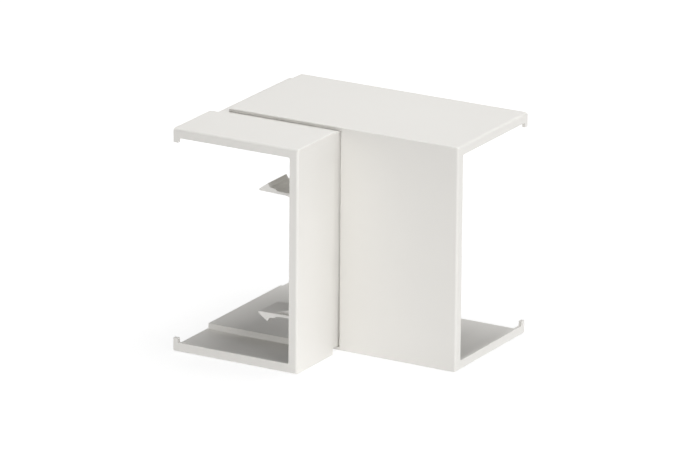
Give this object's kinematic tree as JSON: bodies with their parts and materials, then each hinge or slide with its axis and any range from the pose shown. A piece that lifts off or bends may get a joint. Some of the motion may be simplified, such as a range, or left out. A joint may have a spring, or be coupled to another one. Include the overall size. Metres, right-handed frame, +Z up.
{
  "type": "trunking internal corner",
  "caption": "Adjustable internal corner for surface trunking: a collar with snap hooks telescopes into a cover that turns the run through a right angle.",
  "frame": {"origin": "middle of the underside's bounding box, on the surface the part stands on", "axes": "+Z up; the left wall is on the -X side and the left leg runs towards -Y; the back wall is on the +Y side and the right leg runs towards +X"},
  "size_m": [0.1412, 0.1186, 0.12],
  "materials": {
    "white_plastic": "fine satin, moulded"
  },
  "bodies": {
    "cover": {"corner_cover": "white_plastic"},
    "collar": {"sliding_collar": "white_plastic"}
  },
  "joints": [
    {"name": "collar_slide", "type": "slide", "parent": "cover", "child": "collar", "axis": [0, -1, 0], "range_m": [-0.003, 0.01]}
  ]
}
